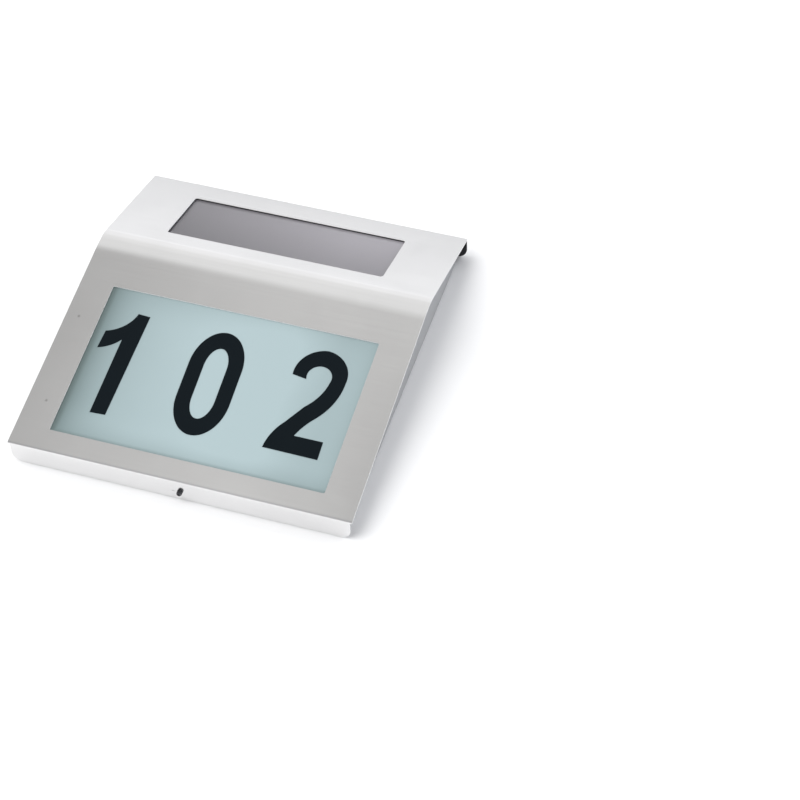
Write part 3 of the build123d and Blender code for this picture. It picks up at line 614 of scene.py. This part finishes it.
# name, colour, roughness, grains per metre, depth of the relief, spread of the tone, amount of wear
plastics = {
    # the near-black of the foam strips in the upper fold stands in for the deep shade inside the fold
    "black_foam": ("blackShadeFoam", (0.018, 0.018, 0.020), 0.85, 1400.0, 0.0001, 0.30, 0.2),
    "white_plastic": ("whitePlastic", (0.78, 0.78, 0.765), 0.40, 1800.0, 0.00002, 0.04, 0.6),
    "grey_plastic": ("greyCasePlastic", (0.32, 0.325, 0.33), 0.44, 1800.0, 0.00002, 0.04, 0.6),
    "black_plastic": ("blackPlastic", (0.022, 0.022, 0.024), 0.38, 1800.0, 0.00002, 0.12, 0.6),
    "copper_coil": ("ferriteCoil", (0.055, 0.050, 0.048), 0.50, 1800.0, 0.00002, 0.20, 0.6),
    "cell_sleeve": ("cellSleeve", (0.06, 0.30, 0.22), 0.28, 600.0, 0.00001, 0.06, 0.6),
    "red_wire": ("redInsulation", (0.55, 0.020, 0.018), 0.40, 2000.0, 0.00001, 0.05, 0.6),
    "black_wire": ("blackInsulation", (0.020, 0.020, 0.022), 0.40, 2000.0, 0.00001, 0.12, 0.6),
}
finishes = {
    "brushed_cover": makeCoverSteel(),
    "frosted_acrylic": makeDiffuser(),
    "black_vinyl": makeVinyl(),
    "solar_cell": makeSolarCell(),
    "solar_glass": makeSolarCover(),
    "clear_lamp": makeLampEpoxy(),
    "green_board": makeBoardGreen(),
}
for slotName, recipe in metals.items():
    finishes[slotName] = brushedMetal(*recipe)
for slotName, recipe in plastics.items():
    finishes[slotName] = mouldedPlastic(*recipe)
# the cover's cut edges are duller than its brushed faces
cutEdge = mouldedPlastic("cutSteelEdge", (0.80, 0.80, 0.79), 0.50, 2400.0, 0.00001, 0.05, 0.6,
                         Metallic=0.1)

slotOfNode = {row["node"]: row["material_slot"] for row in frame["record"]["subparts"]}
for name, slotName in slotOfNode.items():
    for slot in nodes[name].material_slots:
        slot.material = finishes[slotName]
print("finishes built:", len(finishes) + 1)


# small helpers for pieces
def bodyOf(node):
    return nodes[node]["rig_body"]


def finishPiece(bm, name, slotName, node, sharpFrom):
    # the piece takes the node's place, body and material slot
    mesh = bpy.data.meshes.new(name)
    bm.to_mesh(mesh)
    bm.free()
    mesh.materials.append(finishes[slotName])
    mesh.shade_smooth()
    mesh.set_sharp_from_angle(angle=math.radians(sharpFrom))
    piece = bpy.data.objects.new(name, mesh)
    bpy.context.scene.collection.objects.link(piece)
    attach(piece, bodyOf(node))
    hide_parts(node)
    return piece


def addBevel(piece, width, roundedFrom):
    modifier = piece.modifiers.new("roundedEdges", "BEVEL")
    modifier.width = width
    modifier.segments = 2
    modifier.limit_method = "ANGLE"
    modifier.angle_limit = math.radians(roundedFrom)
    modifier.use_clamp_overlap = True
    weighted = piece.modifiers.new("evenNormals", "WEIGHTED_NORMAL")
    weighted.keep_sharp = True


# the steel cover, folded from one sheet
tiny = 1e-6                    # how near a vertex lies to a line that it is on
sameSpot = 1e-7                # vertices this near to each other are one
levelFrom = 0.99               # the upright share of a level face's normal


def nearestFace(bm, point):
    return min(bm.faces, key=lambda face: (face.calc_center_median() - point).length)


def faceOutwards(bm):
    bmesh.ops.recalc_face_normals(bm, faces=bm.faces)
    if nearestFace(bm, onFace(*coverSheet["borderSpot"])).normal.y > 0:
        bmesh.ops.reverse_faces(bm, faces=bm.faces)


def pullVertex(bm, vertex, target):
    drawn = bmesh.ops.extrude_vert_indiv(bm, verts=[vertex])["verts"][0]
    drawn.co = target
    return drawn


def foldedRow(bm, corners, folds):
    # the sheet's side view as a row of vertices, each fold a true arc
    last = bm.verts.new(corners[0])
    for before, corner, after, (radius, steps) in zip(corners, corners[1:], corners[2:], folds):
        into, away = (corner - before).normalized(), (after - corner).normalized()
        turn = into.angle(away)
        last = pullVertex(bm, last, corner - into * radius * math.tan(turn / 2))
        centre = corner + (away - into).normalized() * radius / math.cos(turn / 2)
        made = bmesh.ops.spin(bm, geom=[last], cent=centre, axis=into.cross(away).normalized(),
                              dvec=(0, 0, 0), angle=turn, steps=steps, use_merge=False)
        last = [item for item in made["geom_last"] if isinstance(item, bmesh.types.BMVert)][0]
    pullVertex(bm, last, corners[-1])


def extrudeAlong(bm, edges, offset):
    made = bmesh.ops.extrude_edge_only(bm, edges=edges)["geom"]
    moved = [item for item in made if isinstance(item, bmesh.types.BMVert)]
    bmesh.ops.translate(bm, verts=moved, vec=offset)


def foldSheet(bm):
    left, gap, top = -coverSheet["width"] / 2, coverSheet["wallGap"], coverSheet["height"]
    lean = math.radians(coverSheet["runOutAngle"])
    rise = coverSheet["runOut"] * math.sin(lean) / math.sin(faceTilt + slopeTilt - lean)
    faceLength = math.hypot(bendOut, coverSheet["bendHeight"])
    corners = [spot(left, gap, 0), onFace(left, 0), onFace(left, faceLength - coverSheet["runOut"]),
               onSlope(left, rise), spot(left, coverSheet["flangeDepth"], top), spot(left, gap, top)]
    fold = (coverSheet["foldRadius"], coverSheet["foldSteps"])
    runOut = (coverSheet["runOutRadius"], coverSheet["foldSteps"])
    bend = (coverSheet["bendRadius"], coverSheet["bendSteps"])
    foldedRow(bm, corners, (fold, runOut, bend, fold))
    extrudeAlong(bm, bm.edges[:], (coverSheet["width"], 0, 0))
    faceOutwards(bm)


def roundedOutline(bm, corners, radius):
    # a flat outline with rounded corners, returned as its edges
    fresh = [bm.verts.new(corner) for corner in corners]
    bm.faces.new(fresh)
    made = bmesh.ops.bevel(bm, geom=fresh, offset=radius, offset_type="OFFSET", profile=0.5,
                           segments=coverSheet["windowSteps"], affect="VERTICES", material=-1)
    middle = sum(corners, Vector()) / len(corners)
    face = min((face for vertex in made["verts"] for face in vertex.link_faces),
               key=lambda face: (face.calc_center_bounds() - middle).length)
    edges = face.edges[:]
    bmesh.ops.delete(bm, geom=[face], context="FACES_ONLY")
    return edges


def openFace(bm, face, holeEdges):
    # the face is filled again round the hole
    normal = face.normal.copy()
    edges = face.edges[:] + holeEdges
    bmesh.ops.delete(bm, geom=[face], context="FACES_ONLY")
    bmesh.ops.triangle_fill(bm, use_beauty=True, edges=edges, normal=normal)


def cutWindows(bm):
    for place, window in ((onFace, coverSheet["numberWindow"]), (onSlope, coverSheet["solarWindow"])):
        width, low, high, radius = window
        half = width / 2
        corners = [place(-half, low), place(half, low), place(half, high), place(-half, high)]
        steel = nearestFace(bm, place(0, (low + high) / 2))
        openFace(bm, steel, roundedOutline(bm, corners, radius))


def flangeFaces(bm, height):
    return [face for face in bm.faces if abs(face.normal.z) > levelFrom
            and abs(face.calc_center_median().z - lampBase - height) < tiny]


def cutFlange(bm, height, point, normal):
    # one straight cut across the flat of a fold
    parts = [part for face in flangeFaces(bm, height) for part in (face, *face.edges, *face.verts)]
    bmesh.ops.bisect_plane(bm, geom=list(dict.fromkeys(parts)), dist=sameSpot, plane_co=point,
                           plane_no=normal)


def trimFolds(bm):
    # the folds' ends stand back from the sides, and their free corners are rounded
    for height, inset in zip((0, coverSheet["height"]), coverSheet["foldInsets"]):
        foldEnd = coverSheet["width"] / 2 - inset
        cutFlange(bm, height, (-foldEnd, 0, 0), (1, 0, 0))
        cutFlange(bm, height, (foldEnd, 0, 0), (1, 0, 0))
        ends = [face for face in flangeFaces(bm, height) if abs(face.calc_center_median().x) > foldEnd]
        bmesh.ops.delete(bm, geom=ends, context="FACES")
    free = [vertex for vertex in bm.verts if abs(vertex.co.y + coverSheet["wallGap"]) < tiny]
    bmesh.ops.bevel(bm, geom=free, offset=coverSheet["cornerRadius"], offset_type="OFFSET", profile=0.5,
                    segments=coverSheet["cornerSteps"], affect="VERTICES", material=-1)


def drillLowFold(bm):
    fold = nearestFace(bm, spot(0, coverSheet["flangeDepth"] / 2, 0))
    edges = []
    for x, depth, radius in coverSheet["flangeHoles"]:
        ring = bmesh.ops.create_circle(bm, segments=coverSheet["holeSteps"], radius=radius,
                                       matrix=Matrix.Translation(spot(x, depth, 0)))["verts"]
        edges += dict.fromkeys(edge for vertex in ring for edge in vertex.link_edges)
    openFace(bm, fold, edges)


def foldHook(bm):
    # the middle of the upper fold is bent down behind, as the hook's lip
    top, half, radius = coverSheet["height"], coverSheet["lipWidth"] / 2, coverSheet["lipRadius"]
    lipDepth = coverSheet["wallGap"] + radius
    cutFlange(bm, top, (-half, 0, 0), (1, 0, 0))
    cutFlange(bm, top, (half, 0, 0), (1, 0, 0))
    cutFlange(bm, top, spot(0, lipDepth, 0), (0, 1, 0))
    strip = [face for face in flangeFaces(bm, top)
             if face.calc_center_median().y > -lipDepth and abs(face.calc_center_median().x) < half]
    bmesh.ops.delete(bm, geom=strip, context="FACES")

    def onBendLine(vertex):
        return (abs(vertex.co.y + lipDepth) < tiny and abs(vertex.co.x) < half + tiny
                and vertex.co.z > lampBase + top - tiny)

    edges = [edge for edge in bm.edges if edge.is_boundary and all(map(onBendLine, edge.verts))]
    ends = list(dict.fromkeys(vertex for edge in edges for vertex in edge.verts))
    centre = spot(0, lipDepth, top - radius)
    made = bmesh.ops.spin(bm, geom=edges + ends, cent=centre, axis=(-1, 0, 0), dvec=(0, 0, 0),
                          angle=math.pi / 2, steps=coverSheet["lipSteps"], use_merge=False)
    last = [item for item in made["geom_last"] if isinstance(item, bmesh.types.BMEdge)]
    extrudeAlong(bm, last, (0, 0, radius - coverSheet["lipDrop"]))


def mapGrain(bm):
    # the brushing runs along x over the face and every fold
    tiling = coverSheet["grainTiling"]
    grain = bm.loops.layers.uv.new("grain")
    for face in bm.faces:
        for loop in face.loops:
            x, y, z = loop.vert.co
            loop[grain].uv = (x * tiling, (z - y) * tiling)


def makeCover():
    bm = bmesh.new()
    foldSheet(bm)
    cutWindows(bm)
    trimFolds(bm)
    drillLowFold(bm)
    foldHook(bm)
    bmesh.ops.remove_doubles(bm, verts=bm.verts, dist=sameSpot)
    faceOutwards(bm)
    mapGrain(bm)
    cover = finishPiece(bm, "steelCover", "brushed_cover", "front_cover", coverSheet["sharpFrom"])
    cover.data.materials.append(cutEdge)
    sheet = cover.modifiers.new("sheetThickness", "SOLIDIFY")
    sheet.material_offset_rim = 1        # the rim takes the second material
    sheet.thickness = coverSheet["thickness"]
    sheet.offset = -1
    sheet.use_even_offset = True
    addBevel(cover, coverSheet["edgeRound"], coverSheet["roundedFrom"])


makeCover()
print("steel cover folded")

# these keep the CAD shape, with their cut edges rounded
roundedCopies = {
    "diffuser_panel": ("frostedPanel", 0.0003),
    "digit_one": ("numeralOne", 0.00006),
    "digit_zero": ("numeralZero", 0.00006),
    "digit_two": ("numeralTwo", 0.00006),
    "rear_case": ("plasticCase", 0.0003),
    "back_panel": ("backPanel", 0.0002),
    "battery_door": ("batteryDoor", 0.0002),
    "wall_plate": ("wallPlate", 0.00015),
}
copying = {
    "mergeDistance": 0.000002,
    "flatUnder": 0.6,          # degrees between two faces
    "roundedFrom": 35,
    "sharpFrom": 40,
}


def roundedCopy(node, name, width):
    bm = bmesh.new()
    bm.from_mesh(nodes[node].data)
    bmesh.ops.remove_doubles(bm, verts=bm.verts, dist=copying["mergeDistance"])
    bmesh.ops.dissolve_limit(bm, angle_limit=math.radians(copying["flatUnder"]), verts=bm.verts,
                             edges=bm.edges)
    piece = finishPiece(bm, name, slotOfNode[node], node, copying["sharpFrom"])
    oldNormals = piece.data.attributes.get("custom_normal")
    if oldNormals:
        piece.data.attributes.remove(oldNormals)
    addBevel(piece, width, copying["roundedFrom"])


for node, (name, width) in roundedCopies.items():
    roundedCopy(node, name, width)
print("moulded and cut pieces rounded:", len(roundedCopies))

studio = {
    "tableSize": 8.0,
    "tableGap": 0.0001,        # behind the wall plane, so that the plate rests on it
    "tableTone": (0.79, 0.79, 0.79, 1),
    "paintedMirrorTone": (0.95, 0.95, 0.955, 1),      # painted reflection: the table painted brighter as the steel mirrors it
    "footprint": (0.078, 0.001, 0.199),      # half width and heights of the patch open to rear light
    "aim": (0, 0, -0.08),
    # place, size and power
    "lights": {
        "keyLight": ((-1.00, -1.95, -0.80), 2.2, 58.0),
        "rearLight": ((-0.5, 1.5, 0.4), 1.1, 14.0),
    },
    # degrees from straight up, over the front, to straight down, and the brightness there
    "sky": ((6, (0.345, 0.35, 0.36)), (16, (1.53, 1.54, 1.575)), (21, (1.29, 1.29, 1.315)),
            (39, (1.27, 1.27, 1.285)), (44, (1.14, 1.14, 1.145)), (60, (1.14, 1.14, 1.145)),
            (64, (0.86, 0.855, 0.85)), (69, (0.885, 0.88, 0.875)), (73, (1.12, 1.115, 1.11)),
            (84, (0.96, 0.96, 0.96)), (100, (0.84, 0.84, 0.85)), (150, (1.0, 1.0, 1.02)),
            (180, (1.0, 1.0, 1.02))),
    # degrees where a fall starts and is full, then sideways from, to, and what is left at the first
    "falls": ((58, 64, -0.42, -0.26, 0.47), (67, 70.5, -0.20, -0.245, 0.46)),
    "rightFill": (0.0, 0.40, (1.70, 1.73, 1.79)),      # sideways from, to, and the gain past it
}


def makeTableFinish():
    material, tree, shader = startMaterial("paleTable", Roughness=0.7, Specular_IOR_Level=0.1)
    path = addNode(tree, "ShaderNodeLightPath").outputs
    # painted reflection: glossy rays see the table painted brighter than the camera does
    paleWithPaintedReflection = mixColors(tree, path["Is Glossy Ray"], studio["tableTone"], studio["paintedMirrorTone"])
    feed(tree, shader.inputs["Base Color"], paleWithPaintedReflection)
    # from behind the table isn't there, and rear light reaches the sign's back through one patch
    x, _, z = splitVector(tree, objectPoint(tree))
    half, low, high = studio["footprint"]
    middle, reach = lampBase + (low + high) / 2, (high - low) / 2
    across = maths(tree, "LESS_THAN", maths(tree, "ABSOLUTE", x), half)
    fromMiddle = maths(tree, "ABSOLUTE", maths(tree, "SUBTRACT", z, middle))
    inside = maths(tree, "MULTIPLY", across, maths(tree, "LESS_THAN", fromMiddle, reach))
    patch = maths(tree, "MULTIPLY", inside, maths(tree, "SUBTRACT", 1.0, path["Is Camera Ray"]))
    behind = addNode(tree, "ShaderNodeNewGeometry").outputs["Backfacing"]
    mixed = addNode(tree, "ShaderNodeMixShader")
    feed(tree, mixed.inputs[0], maths(tree, "MAXIMUM", behind, patch))
    feed(tree, mixed.inputs[1], shader.outputs[0])
    feed(tree, mixed.inputs[2], addNode(tree, "ShaderNodeBsdfTransparent").outputs[0])
    feed(tree, tree.nodes["Material Output"].inputs["Surface"], mixed.outputs[0])
    return material


def makeTable():
    bm = bmesh.new()
    bmesh.ops.create_grid(bm, x_segments=1, y_segments=1, size=studio["tableSize"] / 2,
                          matrix=Matrix.Rotation(math.radians(90), 4, "X"))
    bmesh.ops.translate(bm, verts=bm.verts, vec=(0, studio["tableGap"], 0))
    if bm.faces[:][0].normal.y > 0:
        bmesh.ops.reverse_faces(bm, faces=bm.faces)
    mesh = bpy.data.meshes.new("paleTable")
    bm.to_mesh(mesh)
    bm.free()
    mesh.materials.append(makeTableFinish())
    table = bpy.data.objects.new("paleTable", mesh)
    bpy.context.scene.collection.objects.link(table)


def addSoftbox(name, place, size, power):
    light = bpy.data.lights.new(name, "AREA")
    light.shape = "SQUARE"
    light.size = size
    light.energy = power
    lamp = bpy.data.objects.new(name, light)
    lamp.location = place
    lamp.rotation_euler = (Vector(studio["aim"]) - Vector(place)).to_track_quat("-Z", "Y").to_euler()
    lamp.visible_glossy = False      # the metal mirrors the sky alone
    bpy.context.scene.collection.objects.link(lamp)


def makeWorld():
    # the steel mirrors this ramp: the slope its brightest stretch, the face the dimmer one near
    # 69 degrees, and the bend all that lies between
    world = bpy.data.worlds.new("softStudio")
    bpy.context.scene.world = world
    world.use_nodes = True
    tree = world.node_tree
    x, y, z = splitVector(tree, addNode(tree, "ShaderNodeTexCoord").outputs["Generated"])
    angle = maths(tree, "ABSOLUTE", maths(tree, "ARCTAN2", y, z))
    ramp = addNode(tree, "ShaderNodeValToRGB")
    feed(tree, ramp.inputs[0], maths(tree, "DIVIDE", angle, math.pi))
    stops = ramp.color_ramp.elements
    while len(stops) < len(studio["sky"]):
        stops.new(0.5)
    for stop, (degrees, tint) in zip(stops, studio["sky"]):
        stop.position = degrees / 180
        stop.color = tint + (1,)
    # in front the light falls off towards the left, and lower down towards the right as well
    strength = 1.0
    for begin, full, start, end, least in studio["falls"]:
        share = remap(tree, angle, math.radians(begin), math.radians(full))
        fall = remap(tree, x, start, end, least, 1.0, smooth=False)
        dimmed = maths(tree, "MULTIPLY_ADD", maths(tree, "SUBTRACT", fall, 1.0), share, 1.0)
        strength = maths(tree, "MULTIPLY", dimmed, strength)
    start, end, gain = studio["rightFill"]
    filled = mixColors(tree, remap(tree, x, start, end), (1, 1, 1, 1), gain + (1,))
    color = mixColors(tree, 1.0, ramp.outputs[0], filled, "MULTIPLY")
    background = tree.nodes["Background"]
    feed(tree, background.inputs["Color"], color)
    feed(tree, background.inputs["Strength"], strength)


photoView = {
    "place": (0.31532, -0.83001, -0.76721),
    "right": (0.95459, 0.02158, 0.29715),      # the picture's right and up
    "up": (-0.21151, -0.65335, 0.72691),
    "lens": 96.75,
    "sensor": 36.0,
}


def makeCamera():
    right, up = Vector(photoView["right"]), Vector(photoView["up"])
    back = right.cross(up).normalized()
    data = bpy.data.cameras.new("photoCamera")
    data.lens = photoView["lens"]
    data.sensor_width = photoView["sensor"]
    camera = bpy.data.objects.new("photoCamera", data)
    turn = Matrix((right, back.cross(right), back)).transposed()
    camera.matrix_world = Matrix.Translation(photoView["place"]) @ turn.to_4x4()
    bpy.context.scene.collection.objects.link(camera)
    bpy.context.scene.camera = camera


makeTable()
makeWorld()
for name, (place, size, power) in studio["lights"].items():
    addSoftbox(name, place, size, power)
makeCamera()
bpy.context.scene.view_settings.view_transform = "Standard"
print("table, lights and camera placed")
